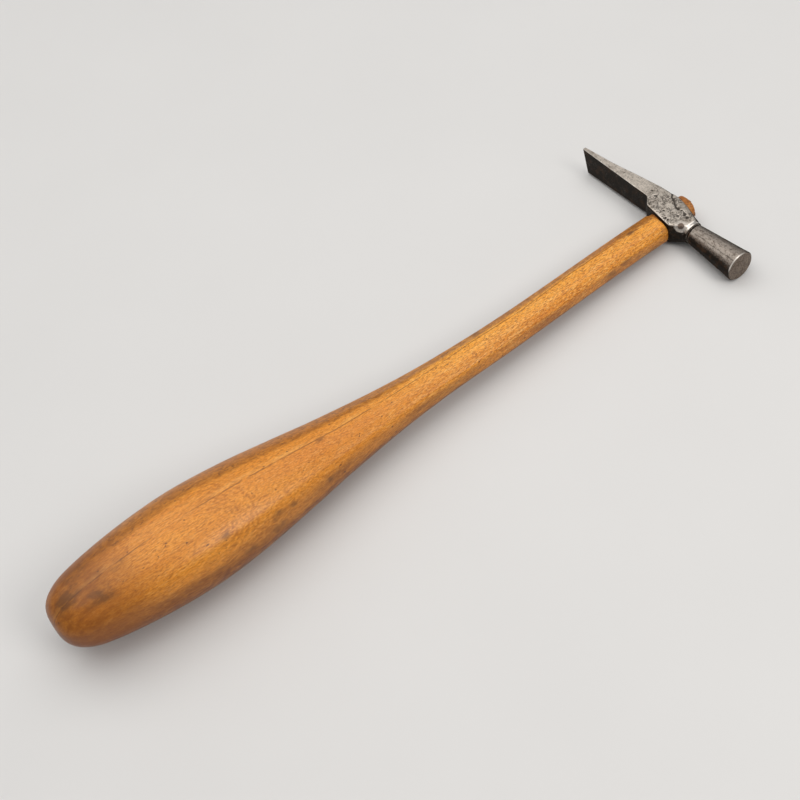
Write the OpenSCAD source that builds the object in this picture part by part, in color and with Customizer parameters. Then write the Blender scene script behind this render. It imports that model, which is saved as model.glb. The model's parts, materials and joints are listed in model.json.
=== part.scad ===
// Tack hammer with a small cross-peen head on a slim shank that swells to a heavy grip.
// It lies on its side as it rests on a bench. +X runs along the handle to the head,
// -Y is the way the striking face looks, and Z = 0 is the surface under it.
// Each piece is drawn in the hammer's own frame: the centre of the eye is the origin,
// X is the handle's axis, Y the head's axis and Z is square to the cheeks.

/* [Head] */
// Diameter of the striking face
face_d = 12.4; // [9:0.1:14]
// Centre of the eye to the striking face
face_reach = 36.2; // [30:0.1:46]
// Centre of the eye to the tip of the peen
peen_reach = 50.2; // [44:0.1:64]
// Diameter of the poll's cone where it leaves the groove
neck_d = 8.4; // [7:0.1:9]
// Thickness of the eye block from cheek to cheek
block_t = 9.6; // [8.6:0.1:11]
// Height of the peen's edge
edge_h = 11.4; // [10:0.1:12.2]
// Thickness of the peen at its edge
edge_t = 1.5; // [0.8:0.1:2.4]

/* [Eye] */
// Length of the oval eye along the head
eye_l = 11; // [8:0.1:11.4]
// Width of the oval eye from cheek to cheek
eye_w = 6; // [5:0.1:6.4]
// How far the handle's end stands past the centre of the eye
proud_x = 10; // [8:0.1:12]

/* [Handle] */
// Butt to the centre of the eye
handle_l = 276; // [240:1:310]
// Widest part of the grip, along the head
grip_w = 36.6; // [30:0.2:42]
// Thickness of the grip there, cheek to cheek
grip_t = 31.4; // [26:0.2:36]
// Width of the shank, along the head
shank_w = 12.8; // [12:0.1:16]
// Thickness of the shank, cheek to cheek
shank_t = 9.4; // [8.4:0.1:11]
// Sideways bow of the grip away from the eye's axis
bow = 2.9; // [0:0.1:5]

/* [Wedges] */
// Thickness of the wooden wedge at its outer end
wood_wedge_t = 1.8; // [1.2:0.1:2.2]
// Thickness of the steel wedge at its outer end
steel_wedge_t = 1.3; // [0.8:0.1:1.8]

/* [Hidden] */
$fn = 72;
over = 1;
face_r = face_d / 2;

// Poll: face rim, cone, groove and collar, measured along the head's axis.
rim = 0.4;
groove_y = -12.6;
groove_r = neck_d / 2 - 0.35;
groove_l = 0.9;
collar_r = neck_d / 2 + 0.3;
collar_l = 1.2;
neck_y = groove_y + groove_l + collar_l;
neck_half = neck_d / 2 + 0.2;

// Plan of the block and peen: the side that faces the hand, then the far side.
hand_neck_x = -7.2;
hand_shoulder_x = -5.3;
hand_peen_x = -1.6;
shoulder_y = [8, 13.4];
shoulder_steps = 6;
function shoulder_x(t) = hand_shoulder_x + (hand_peen_x - hand_shoulder_x) * (1 - cos(180 * t)) / 2;
hand_side = concat(
    [[-neck_half, neck_y], [hand_neck_x, -5.3]],
    [for (k = [0 : shoulder_steps])
        [shoulder_x(k / shoulder_steps),
         shoulder_y[0] + (shoulder_y[1] - shoulder_y[0]) * k / shoulder_steps]]);
far_side = [[1.7, 36.2], [4.7, 20.3], [6.2, 12.5], [6.8, 4.2], [6.7, 1.2], [5.4, -5.3], [neck_half, neck_y]];
edge_side = [[hand_peen_x, peen_reach], [hand_peen_x + edge_t, peen_reach]];

// Side view of the block and peen. The edge is worn a little off square.
edge_slant = 2.8;
edge_low = 0.3 - edge_h / 2;
cheek_z = block_t / 2;
cheek_end_y = 15;
side_view = [
    [neck_y, -neck_half], [-5.5, -cheek_z], [cheek_end_y, -cheek_z], [peen_reach - edge_slant, edge_low],
    [peen_reach, edge_h / 2], [cheek_end_y, cheek_z], [-5.5, cheek_z], [neck_y, neck_half]];

// Round envelope that turns the block's corners down to the collar.
neck_turn = [[0, neck_y], [collar_r, neck_y], [6.2, -8.1], [9, -4.4], [20, 6], [20, 70], [0, 70]];

// Handle: [share of handle_l from the eye, share of the swell from shank to grip].
swell = [
    [0, 0], [0.2, 0], [0.29, 0.015], [0.36, 0.035], [0.44, 0.09], [0.51, 0.21], [0.58, 0.405],
    [0.655, 0.66], [0.73, 0.89], [0.80, 1], [0.87, 0.935], [0.94, 0.725], [1, 0.385]];
swell_last = len(swell) - 1;
function swell_slope(i) =
    i == 0 ? 0
    : let (j = min(i + 1, swell_last)) (swell[j][1] - swell[i - 1][1]) / (swell[j][0] - swell[i - 1][0]);
function swell_span(u) = max([for (i = [0 : swell_last - 1]) if (u >= swell[i][0]) i]);
function swell_at(u) =
    let (i = swell_span(u), h = swell[i + 1][0] - swell[i][0], t = (u - swell[i][0]) / h)
    swell[i][1] * (1 + 2 * t) * pow(1 - t, 2) + swell[i + 1][1] * t * t * (3 - 2 * t)
    + h * t * (1 - t) * (swell_slope(i) * (1 - t) - swell_slope(i + 1) * t);

shoulder_gap_x = 7;
shoulder_r = 1.8;
butt_l = 13;
butt_power = 3;
butt_start = handle_l - butt_l;
function rounding(x) = let (d = max(0, min(shoulder_r, shoulder_gap_x + shoulder_r - x)))
    shoulder_r - sqrt(pow(shoulder_r, 2) - d * d);
function butt_share(x) =
    x > butt_start ? pow(max(0, 1 - pow((x - butt_start) / butt_l, butt_power)), 1 / butt_power) : 1;
function half_w(x) = ((shank_w + (grip_w - shank_w) * swell_at(x / handle_l)) / 2 - rounding(x)) * butt_share(x);
function half_t(x) = ((shank_t + (grip_t - shank_t) * swell_at(x / handle_l)) / 2 - rounding(x)) * butt_share(x);

// The shank is a softly squared oval and the grip is nearly a true oval.
function squareness(x) = 2.9 - 0.65 * min(1, 2 * swell_at(x / handle_l));

bow_from = 6;
bow_to = 100;
function bow_at(x) =
    let (t = max(0, min(1, (x - bow_from) / (bow_to - bow_from)))) -bow * t * t * (3 - 2 * t);

sides = 28;
shoulder_rings = 4;
long_rings = 40;
butt_rings = 8;
long_start = shoulder_gap_x + shoulder_r;
ring_x = concat(
    [for (k = [0 : shoulder_rings - 1]) shoulder_gap_x + shoulder_r * (1 - cos(90 * k / shoulder_rings))],
    [for (k = [0 : long_rings]) long_start + (butt_start - long_start) * k / long_rings],
    [for (k = [1 : butt_rings]) butt_start + butt_l * sin(84 * k / butt_rings)]);
function signed_pow(v, p) = sign(v) * pow(abs(v), p);
function ring(x) = [for (k = [0 : sides - 1]) let (a = 360 * k / sides, p = 2 / squareness(x))
    [-x, bow_at(x) + half_w(x) * signed_pow(cos(a), p), half_t(x) * signed_pow(sin(a), p)]];

// The eye sits a little toward the peen from the handle's axis.
eye_y = 0.9;

// Wedges: how deep they reach, and how thin they are at that end.
wood_wedge_x = -4;
wood_wedge_tip = 0.4;
steel_wedge_x = 2;
steel_wedge_tip = 0.3;
steel_wedge_w = 4.4;
steel_wedge_end = proud_x + 0.2;

// End of the handle, trimmed to a low dome that leans toward the peen.
dome_r = 12;
dome_y = 2.2;

// At rest the widest part of the grip and the head's lowest edge touch the bench.
tilt = atan(max([for (x = [120 : 2 : butt_start]) (half_t(x) - face_r) / x]));
mid_x = (proud_x - handle_l) * cos(tilt) / 2;
mid_y = (peen_reach - face_reach) / 2;

module at_rest() {
    translate([-mid_x, -mid_y, face_r]) rotate([0, tilt, 0]) children();
}

// Turns a shape drawn round Z so that Z becomes the head's axis.
module along_head() {
    rotate([-90, 0, 0]) children();
}

// Sweeps an outline drawn in Y and Z along the handle's axis.
module along_handle(from, to) {
    translate([from, 0, 0]) rotate([90, 0, 90]) linear_extrude(to - from) children();
}

module eye_outline() {
    translate([eye_y, 0]) {
        square([eye_l - eye_w, eye_w], center = true);
        for (s = [-1, 1]) translate([s * (eye_l - eye_w) / 2, 0]) circle(d = eye_w);
    }
}

module poll() {
    cone_end = groove_y;
    along_head() translate([0, 0, -face_reach]) {
        cylinder(r1 = face_r - rim, r2 = face_r, h = rim);
        translate([0, 0, rim]) cylinder(r1 = face_r, r2 = neck_d / 2, h = face_reach + cone_end - rim);
    }
    along_head() translate([0, 0, groove_y]) cylinder(r = groove_r, h = groove_l + over);
    along_head() translate([0, 0, groove_y + groove_l]) cylinder(r = collar_r, h = collar_l);
}

module block_and_peen() {
    intersection() {
        translate([0, 0, -over - edge_h / 2]) linear_extrude(edge_h + 2 * over)
            polygon(concat(hand_side, edge_side, far_side));
        translate([-10, 0, 0]) rotate([90, 0, 90]) linear_extrude(20) polygon(side_view);
        along_head() rotate_extrude() polygon(neck_turn);
    }
}

module hammer_head() {
    color([0.45, 0.43, 0.40]) at_rest() difference() {
        union() {
            poll();
            block_and_peen();
        }
        along_handle(-10, 10) eye_outline();
    }
}

// One lofted skin from the shoulder behind the head to the butt.
module grip_and_shank() {
    rings = len(ring_x);
    points = concat([for (x = ring_x) each ring(x)], [[-handle_l, -bow, 0]]);
    skin = [for (r = [0 : rings - 2], k = [0 : sides - 1])
        let (a = r * sides + k, b = r * sides + (k + 1) % sides) each [[a, b, b + sides], [a, b + sides, a + sides]]];
    front = [[for (k = [0 : sides - 1]) sides - 1 - k]];
    butt = [for (k = [0 : sides - 1])
        [(rings - 1) * sides + k, (rings - 1) * sides + (k + 1) % sides, rings * sides]];
    polyhedron(points, concat(skin, front, butt));
}

// The part of the handle that fills the eye and stands proud of it.
module tenon() {
    intersection() {
        along_handle(-shoulder_gap_x - over, proud_x + over) eye_outline();
        translate([proud_x - dome_r, dome_y, 0]) sphere(r = dome_r);
    }
}

// The saw cut, opened by the wooden wedge to the same taper.
module kerf() {
    translate([0, eye_l, 0]) rotate([90, 0, 0]) linear_extrude(2 * eye_l)
        polygon([[wood_wedge_x, -wood_wedge_tip / 2], [proud_x, -wood_wedge_t / 2],
                 [proud_x + over, -wood_wedge_t / 2], [proud_x + over, wood_wedge_t / 2],
                 [proud_x, wood_wedge_t / 2], [wood_wedge_x, wood_wedge_tip / 2]]);
}

module steel_wedge_shape() {
    translate([0, eye_y, -steel_wedge_w / 2]) linear_extrude(steel_wedge_w)
        polygon([[steel_wedge_x, -steel_wedge_tip / 2], [steel_wedge_end, -steel_wedge_t / 2],
                 [steel_wedge_end, steel_wedge_t / 2], [steel_wedge_x, steel_wedge_tip / 2]]);
}

module handle() {
    color([0.80, 0.50, 0.20]) at_rest() difference() {
        union() {
            grip_and_shank();
            tenon();
        }
        kerf();
        steel_wedge_shape();
    }
}

module wood_wedge() {
    color([0.70, 0.52, 0.32]) at_rest() difference() {
        intersection() {
            tenon();
            kerf();
        }
        steel_wedge_shape();
    }
}

module steel_wedge() {
    color([0.36, 0.34, 0.32]) at_rest() steel_wedge_shape();
}

hammer_head();
handle();
wood_wedge();
steel_wedge();
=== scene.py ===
import json
import math

import bmesh
import bpy
import numpy as np
from mathutils import Matrix, Vector, noise


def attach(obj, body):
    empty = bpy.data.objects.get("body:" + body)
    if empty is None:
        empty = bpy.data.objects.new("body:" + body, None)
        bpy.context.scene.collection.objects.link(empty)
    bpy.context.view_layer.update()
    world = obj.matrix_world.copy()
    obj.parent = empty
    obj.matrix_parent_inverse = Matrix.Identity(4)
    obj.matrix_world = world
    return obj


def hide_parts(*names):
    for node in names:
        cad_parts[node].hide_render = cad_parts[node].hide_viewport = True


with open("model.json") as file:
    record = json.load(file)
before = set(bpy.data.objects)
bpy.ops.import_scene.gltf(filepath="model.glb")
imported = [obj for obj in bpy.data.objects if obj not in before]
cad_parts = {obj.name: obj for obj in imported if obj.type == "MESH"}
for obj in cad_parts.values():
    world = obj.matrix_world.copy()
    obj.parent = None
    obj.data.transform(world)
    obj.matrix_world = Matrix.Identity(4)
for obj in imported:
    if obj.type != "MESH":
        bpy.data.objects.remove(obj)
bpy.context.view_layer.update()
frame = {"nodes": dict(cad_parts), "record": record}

MM = 0.001

# The hammer's own frame, in millimetres: the centre of the eye is the origin, X is the
# handle's axis, Y the head's axis and Z is square to the cheeks.
FACE_REACH = 36.2
MOUNTS = {mount["name"]: mount for mount in frame["record"]["mounts"]}
ALONG = Vector(MOUNTS["grip"]["axis"]).normalized()
ACROSS = Vector((0, 1, 0))
UPRIGHT = ALONG.cross(ACROSS)
EYE = Vector(MOUNTS["striking_face"]["pos_m"]) + FACE_REACH * MM * ACROSS
TO_ROW = np.array([ALONG, ACROSS, UPRIGHT])

# Head: the face and its chamfered rim, the cone down to its neck, the groove, the collar, then
# the block round the eye and the peen, whose edge slants back by EDGE_SLANT at its low end.
FACE_R = 6.2
RIM = 0.4
NECK_R = 4.2
GROOVE = (-12.6, -11.7)
GROOVE_R = 3.85
COLLAR_R = 4.5
COLLAR_END = -10.5
PEEN_REACH = 50.2
EDGE_SLANT = 2.8
CHEEK_Z = 4.8
CHEEK_FROM, CHEEK_TO = -5.5, 15.0
EDGE_TOP, EDGE_LOW = 5.7, -5.4
NECK_HALF = 4.4

# Handle: sizes square to its axis are (along Y, along Z), and its axis bows by BOW toward -Y.
HANDLE_L = 276.0
PROUD_X = 10.0
GRIP_HALF = (18.3, 15.7)
SHANK_HALF = (6.4, 4.7)
BOW = 2.9
BOW_FROM, BOW_TO = 6.0, 100.0
SHOULDER_X = 7.0
SHOULDER_R = 1.8
BUTT_L = 13.0
BUTT_POWER = 3.0
EYE_Y = 0.9
EYE_HALF = (5.5, 3.0)
EYE_STRAIGHT = EYE_HALF[0] - EYE_HALF[1]
DOME_R = 12.0
DOME_Y = 2.2
# The swell of the grip, as (share of the handle's length, share of the swell).
SWELL = ((0, 0), (0.2, 0), (0.29, 0.015), (0.36, 0.035), (0.44, 0.09), (0.51, 0.21), (0.58, 0.405),
         (0.655, 0.66), (0.73, 0.89), (0.80, 1), (0.87, 0.935), (0.94, 0.725), (1, 0.385))

# Fineness of the meshes: vertices round a section, rings that fill each end, sharp edges in degrees.
HEAD_PER_SIDE = 40
HEAD_END_RINGS = 10
HEAD_CREASE = 28
EYE_AROUND = 96
HANDLE_AROUND = 120
HANDLE_END_RINGS = 3
HANDLE_CREASE = 40
HAIR = 0.05
WELD = 1e-7

# Guards against dividing by nothing, and a reach beyond any part of the hammer.
TINY = 1e-6
SLIGHT = 0.01
BEYOND = 1e3


# ---- small tools

SEED_STEPS = (17.3, 5.9, 11.1)
FRACTAL_DROP, FRACTAL_GAP = 0.9, 2.0
CROWDED, EVENLY = 0.55, 0.45


def clamp01(t):
    return np.clip(t, 0.0, 1.0)


def smooth(a, b, x):
    """0 at a and 1 at b, eased at both. a may be the larger."""
    t = clamp01((np.asarray(x, float) - a) / (b - a))
    return t * t * (3 - 2 * t)


def span(start, full, ebb, end, x):
    """0 outside start and end, 1 from full to ebb, and eased between."""
    return smooth(start, full, x) * smooth(end, ebb, x)


def blend(a, b, t):
    return a + (b - a) * t


def table_at(table, x):
    """A table of (station, value) read at x, straight between its stations."""
    stations, values = zip(*table)
    return np.interp(x, stations, values)


def along(table, y):
    return float(table_at(table, y))


def soft_min(sharp, *values):
    """The smallest of the values, with the creases between them rounded."""
    return sum(np.maximum(v, TINY) ** -sharp for v in values) ** (-1.0 / sharp)


def soft_max(sharp, *values):
    return sum(np.maximum(v, TINY) ** sharp for v in values) ** (1.0 / sharp)


def field(points, size, seed, octaves=1):
    """Seeded smooth noise, about -1 to 1, with features of the given size in millimetres."""
    shift = Vector([seed * step for step in SEED_STEPS])
    places = [Vector(p) / size + shift for p in points]
    if octaves == 1:
        return np.array([noise.noise(place) for place in places])
    return np.array([noise.fractal(place, FRACTAL_DROP, FRACTAL_GAP, octaves) for place in places])


def to_row(points):
    """Hammer frame in millimetres to the row's frame in metres."""
    return np.asarray(points) @ TO_ROW * MM + np.array(EYE)


def to_hammer(points):
    return (np.asarray(points) - np.array(EYE)) @ TO_ROW.T / MM


def side_angles(per_side):
    """Directions round a section, four sides of it, closer together at the four corners."""
    s = np.arange(per_side) / per_side * 2 - 1
    t = CROWDED * np.sin(math.pi * s / 2) + EVENLY * s
    one = np.ones_like(t)
    u = np.concatenate([one, -t, -one, t])
    v = np.concatenate([t, one, -t, -one])
    return u, v


def grid_faces(rings, around):
    """Quads of a tube of rings, wound so that the normals face out."""
    r, k = np.meshgrid(np.arange(rings - 1), np.arange(around), indexing="ij")
    a = r * around + k
    b = r * around + (k + 1) % around
    return np.stack([a, a + around, b + around, b], axis=-1).reshape(-1, 4).tolist()


def cap_faces(outer, inner, outward):
    """Faces between a loop of vertices and the loop, or the one vertex, inside it."""
    faces = []
    for i in range(len(outer)):
        j = (i + 1) % len(outer)
        face = [outer[i], outer[j]] + ([inner[j], inner[i]] if len(inner) > 1 else [inner[0]])
        faces.append([int(v) for v in (face[::-1] if outward else face)])
    return faces


def close_ends(points, per_end):
    """Fills both ends with shrinking rings round their middles. Returns points and faces."""
    rings, around = points.shape[:2]
    faces = grid_faces(rings, around)
    flat = points.reshape(-1, 3)
    for end, outward in ((0, False), (rings - 1, True)):
        outer = np.arange(end * around, (end + 1) * around)
        rim = flat[outer]
        middle = rim.mean(axis=0)
        for k in range(1, per_end):
            inner = len(flat) + np.arange(around)
            flat = np.vstack([flat, blend(rim, middle, k / per_end)])
            faces += cap_faces(outer, inner, outward)
            outer = inner
        faces += cap_faces(outer, [len(flat)], outward)
        flat = np.vstack([flat, middle])
    return flat, faces


def mesh_from(name, points, faces):
    mesh = bpy.data.meshes.new(name)
    mesh.from_pydata(to_row(points).tolist(), [], faces)
    work = bmesh.new()
    work.from_mesh(mesh)
    bmesh.ops.remove_doubles(work, verts=work.verts, dist=WELD)
    bmesh.ops.recalc_face_normals(work, faces=work.faces)
    work.to_mesh(mesh)
    work.free()
    return mesh


def object_from(name, mesh):
    obj = bpy.data.objects.new(name, mesh)
    bpy.context.scene.collection.objects.link(obj)
    return obj


def vertices(obj):
    flat = np.empty(len(obj.data.vertices) * 3, dtype=np.float32)
    obj.data.vertices.foreach_get("co", flat)
    return to_hammer(flat.reshape(-1, 3))


def normals(obj):
    flat = np.array([v.normal for v in obj.data.vertices])
    return flat @ TO_ROW.T


def sculpted(name, points, per_end, offset):
    """A closed skin of rings, moved along its normals by offset(its points), in millimetres."""
    obj = object_from(name, mesh_from(name, *close_ends(points, per_end)))
    p, n = vertices(obj), normals(obj)
    moved = to_row(p + n * offset(p)[:, None])
    obj.data.vertices.foreach_set("co", moved.astype(np.float32).ravel())
    return obj


def cut(obj, cutters):
    """Takes the cutters out of obj for good, and removes them."""
    for cutter in cutters:
        step = obj.modifiers.new("cut", "BOOLEAN")
        step.operation = "DIFFERENCE"
        step.solver = "EXACT"
        step.object = cutter
    graph = bpy.context.evaluated_depsgraph_get()
    done = bpy.data.meshes.new_from_object(obj.evaluated_get(graph))
    obj.modifiers.clear()
    old = obj.data
    obj.data = done
    bpy.data.meshes.remove(old)
    for cutter in cutters:
        spare = cutter.data
        bpy.data.objects.remove(cutter)
        bpy.data.meshes.remove(spare)


def shade(obj, crease_degrees):
    for polygon in obj.data.polygons:
        polygon.use_smooth = True
    obj.data.set_sharp_from_angle(angle=math.radians(crease_degrees))


def paint(obj, name, values):
    """One number at each vertex, for a material to read."""
    layer = obj.data.attributes.new(name, "FLOAT", "POINT")
    layer.data.foreach_set("value", np.ascontiguousarray(clamp01(values), dtype=np.float32))


# ---- the head's shape

# The block and peen from above, as (y, x). The side toward the hand eases in over PEEN_SHOULDER
# to a peen that is straight at HAND_PEEN_X.
HAND_SIDE = ((COLLAR_END, -NECK_HALF), (-5.3, -7.2), (8.0, -5.3))
PEEN_SHOULDER = (8.0, 13.4)
HAND_PEEN_X = -1.6
FAR_SIDE = ((COLLAR_END, NECK_HALF), (-5.3, 5.4), (1.2, 6.7), (4.2, 6.8), (12.5, 6.2), (20.3, 4.7),
            (36.2, 1.7), (PEEN_REACH, -0.1))
# The circle that the block is turned down to beside the collar, as (y, radius).
NECK_TURN = ((COLLAR_END, COLLAR_R), (-8.1, 6.2), (-4.4, 9.0), (6.0, 20.0))
# Where the cheeks stop short of the far side, as (y, x), and how steeply they fall away from there.
FAR_BEVEL = ((COLLAR_END, 2.7), (-8.0, 3.2), (-5.0, 4.3), (-2.0, 5.5), (0.5, 6.1), (4.7, 7.3),
             (9.0, 9.5), (70.0, 20.0))
BEVEL_TURN = math.radians(52)
# How crisp the corners of the block and the peen are, where one gives way to the other, and how
# crisply the block meets its turned neck and its bevels.
BLOCK_CRISP, PEEN_CRISP = 16.0, 30.0
CRISP_FROM, CRISP_TO = 12.0, 22.0
JOIN_CRISP = 26.0

# The cone's file flats: their turns in radians, their depths as shares of the radius, and how
# far behind the face they start and are whole.
FILE_FLATS = (0.10, 0.62, 1.16, 1.62, 2.14, 2.72, 3.22, 3.82, 4.30, 4.86, 5.42, 5.92)
FLAT_SHARE, FLAT_STEP, FLAT_DEPTHS = 0.985, 0.006, 3
FLAT_LEAN = 0.6
FILED_FROM, FILED_WHOLE = 1.0, 5.0

# The softened lips of the groove and the bead, and the rounded edge of the peen.
LIP_DROP, LIP_SPREAD = 0.16, 0.14
BEAD_DROP = 0.12
EDGE_ROUND = 0.35
EDGE_WORN, EDGE_WORN_Z = 0.22, 0.16


def hand_x(y):
    if y <= PEEN_SHOULDER[0]:
        return along(HAND_SIDE, y)
    t = clamp01((y - PEEN_SHOULDER[0]) / (PEEN_SHOULDER[1] - PEEN_SHOULDER[0]))
    return blend(HAND_SIDE[-1][1], HAND_PEEN_X, (1 - math.cos(math.pi * t)) / 2)


def cheek_z(y, end):
    """How far a cheek is from the middle, when the peen's edge ends at z = end."""
    if y < CHEEK_FROM:
        return blend(NECK_HALF, CHEEK_Z, (y - COLLAR_END) / (CHEEK_FROM - COLLAR_END))
    return blend(CHEEK_Z, abs(end), clamp01((y - CHEEK_TO) / (PEEN_REACH - CHEEK_TO)))


def round_section(radius, u, v):
    length = np.hypot(u, v)
    return radius * u / length, radius * v / length


def poll_radius(y):
    if y < -FACE_REACH + RIM:
        return FACE_R - RIM + (y + FACE_REACH)
    return blend(FACE_R, NECK_R, (y + FACE_REACH - RIM) / (GROOVE[0] + FACE_REACH - RIM))


def filed(radius, u, v, y):
    """The cone's section: a dozen uneven file flats that fade out at the face."""
    x, z = round_section(1.0, u, v)
    angle = np.arctan2(z, x)
    reach = np.full_like(x, 1.0)
    for k, turn in enumerate(FILE_FLATS):
        share = FLAT_SHARE - FLAT_STEP * (k % FLAT_DEPTHS)
        lean = np.cos(angle - turn)
        flat = share / np.maximum(lean, FLAT_LEAN)
        reach = np.where(lean > FLAT_LEAN, np.minimum(reach, flat), reach)
    whole = smooth(-FACE_REACH + FILED_FROM, -FACE_REACH + FILED_WHOLE, y)
    reach = blend(1.0, reach, whole)
    return radius * reach * x, radius * reach * z


def turned_scale(y, mid_x, mid_z, dx, dz):
    """How many times (dx, dz) fits between the section's middle and the circle of the turned neck."""
    turn = along(NECK_TURN, y)
    size = np.hypot(dx, dz)
    lead = (mid_x * dx + mid_z * dz) / size
    reach = -lead + np.sqrt(np.maximum(lead ** 2 - mid_x ** 2 - mid_z ** 2 + turn ** 2, SLIGHT))
    return reach / size


def bevel_scale(y, mid_x, half_z, dx, dz):
    """The same, for the bevels at the far side of the two cheeks."""
    across, down = math.sin(BEVEL_TURN), math.cos(BEVEL_TURN)
    run = across * (along(FAR_BEVEL, y) - mid_x) + down * half_z
    lean = across * dx + down * np.abs(dz)
    return np.where(lean > SLIGHT, run / np.maximum(lean, SLIGHT), BEYOND)


def block_section(y, u, v):
    low_x, high_x = hand_x(y), along(FAR_SIDE, y)
    top, low = cheek_z(y, EDGE_TOP), -cheek_z(y, EDGE_LOW)
    mid_x, half_x = (low_x + high_x) / 2, (high_x - low_x) / 2
    mid_z, half_z = (top + low) / 2, (top - low) / 2
    dx, dz = u * half_x, v * half_z
    crisp = blend(BLOCK_CRISP, PEEN_CRISP, smooth(CRISP_FROM, CRISP_TO, y))
    prism = (np.abs(u) ** crisp + np.abs(v) ** crisp) ** (-1 / crisp)
    turned = turned_scale(y, mid_x, mid_z, dx, dz)
    scale = soft_min(JOIN_CRISP, prism, turned, bevel_scale(y, mid_x, half_z, dx, dz))
    return mid_x + dx * scale, mid_z + dz * scale


def head_section(y, u, v):
    if y < GROOVE[0]:
        return filed(poll_radius(y), u, v, y)
    if y < GROOVE[1]:
        return round_section(GROOVE_R, u, v)
    if y < COLLAR_END:
        return round_section(COLLAR_R, u, v)
    return block_section(y, u, v)


def head_stations():
    """Where the head's rings lie along Y, closest together where its outline turns."""
    rim_end = -FACE_REACH + RIM
    start, end = GROOVE
    return np.concatenate([
        np.linspace(-FACE_REACH, rim_end, 4),
        np.linspace(rim_end + 0.3, start - HAIR, 60),
        [start + 0.02, start + 0.2, start + 0.45, end - 0.2, end - 0.02],
        end + HAIR + np.linspace(0, COLLAR_END - end - 2 * HAIR, 7),
        np.arange(COLLAR_END + HAIR, CHEEK_TO, 0.26),
        np.linspace(CHEEK_TO + 0.2, PEEN_REACH - EDGE_ROUND, 90),
        [PEEN_REACH - 0.18, PEEN_REACH - HAIR, PEEN_REACH],
    ])


def lathe_softness(y):
    """How much the radius gives at the lips of the groove and the sides of the bead."""
    give = 0.0
    if y < GROOVE[0] or y > GROOVE[1]:
        give = sum(LIP_DROP * math.exp(-abs(y - edge) / LIP_SPREAD) for edge in GROOVE)
    middle, half = (GROOVE[1] + COLLAR_END) / 2, (COLLAR_END - GROOVE[1]) / 2
    if GROOVE[1] < y < COLLAR_END:
        give += BEAD_DROP * ((y - middle) / half) ** 4
    return give


def head_points(per_side):
    u, v = side_angles(per_side)
    rings = []
    for y in head_stations():
        x, z = head_section(y, u, v)
        if y < COLLAR_END:
            shrink = 1 - lathe_softness(y) / COLLAR_R
            x, z = x * shrink, z * shrink
        else:
            worn = EDGE_WORN * smooth(PEEN_REACH - EDGE_ROUND, PEEN_REACH, y)
            mid = (x.max() + x.min()) / 2
            x = mid + (x - mid) * (1 - worn)
            z = z * (1 - worn * EDGE_WORN_Z)
        slant = EDGE_SLANT * smooth(CHEEK_TO, PEEN_REACH, y) * (EDGE_TOP - z) / (EDGE_TOP - EDGE_LOW)
        rings.append(np.stack([x, y - slant, z], axis=-1))
    return np.array(rings)


# Marks on the upper cheek. The crack is a line of (x, y), whole within the first of CRACK_HALF
# and gone at the second; the pits are (x, y, radius); the punch mark is a round dish with a lip.
CRACK = ((6.6, 7.6), (5.9, 6.2), (4.6, 5.2), (3.9, 3.4), (2.4, 1.0), (1.6, -0.6))
CRACK_HALF = (0.20, 0.54)
CRACK_WANDER = 0.32
PITS = ((1.8, -1.3, 1.1), (2.1, -2.8, 1.0), (1.5, -4.2, 0.8), (1.1, -5.5, 1.2),
        (0.9, -7.0, 1.2), (0.8, -8.2, 0.8), (-5.2, -1.6, 0.9), (-4.9, -2.8, 0.8),
        (-2.8, 2.0, 0.8), (0.9, 10.2, 0.9), (1.9, 13.6, 0.6), (-1.0, -3.9, 0.7))
PIT_BOTTOM, PIT_RIM = 0.3, 0.75
MARKED_Z = (3.9, 4.4)
PUNCH = (-3.7, -8.55)
PUNCH_TOP = 4.3
PUNCH_R = 1.35
DISH_BOTTOM, DISH_RIM = 0.45, 0.95
LIP_SHARE, LIP_WIDTH = 1.15, 0.35

# How deep each mark goes, and how far the whole skin is drawn in to stay inside the CAD's.
DENT_DEPTH, TEXTURE_DEPTH = 0.05, 0.010
PIT_DEPTH, DISH_DEPTH = 0.13, 0.16
LIP_HEIGHT = 0.03
DRAWN_IN = 0.03


def segment_gap(q, start, end):
    """Distance in X and Y from each point to the straight run from start to end."""
    (x0, y0), (x1, y1) = start, end
    run = np.array([x1 - x0, y1 - y0])
    t = clamp01(((q[:, 0] - x0) * run[0] + (q[:, 1] - y0) * run[1]) / (run @ run))
    return np.hypot(q[:, 0] - x0 - t * run[0], q[:, 1] - y0 - t * run[1])


def pits(p):
    """How deeply each point of the upper cheek is cut by the crack and the larger pits, 0 to 1."""
    depth = np.zeros(len(p))
    active = np.nonzero(p[:, 2] > MARKED_Z[0])[0]
    q = p[active]
    wobble = field(q, 1.1, seed=9) * 0.7
    own = np.zeros(len(q))
    for start, end in zip(CRACK, CRACK[1:]):
        gap = segment_gap(q, start, end) + CRACK_WANDER * wobble
        own = np.maximum(own, 1 - smooth(*CRACK_HALF, gap))
    for x, y, radius in PITS:
        gap = np.hypot(q[:, 0] - x, q[:, 1] - y) + wobble
        own = np.maximum(own, 1 - smooth(PIT_BOTTOM * radius, PIT_RIM * radius, gap))
    depth[active] = own * smooth(*MARKED_Z, q[:, 2])
    return depth


def punch(p):
    """The round punch mark beside the collar: (dish, raised lip), each 0 to 1."""
    gap = np.hypot(p[:, 0] - PUNCH[0], p[:, 1] - PUNCH[1])
    top = smooth(1.5, 2.5, p[:, 2])
    dish = (1 - smooth(PUNCH_R * DISH_BOTTOM, PUNCH_R * DISH_RIM, gap)) * top
    lip = np.exp(-((gap - PUNCH_R * LIP_SHARE) / LIP_WIDTH) ** 2) * top
    return dish, lip


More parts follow.
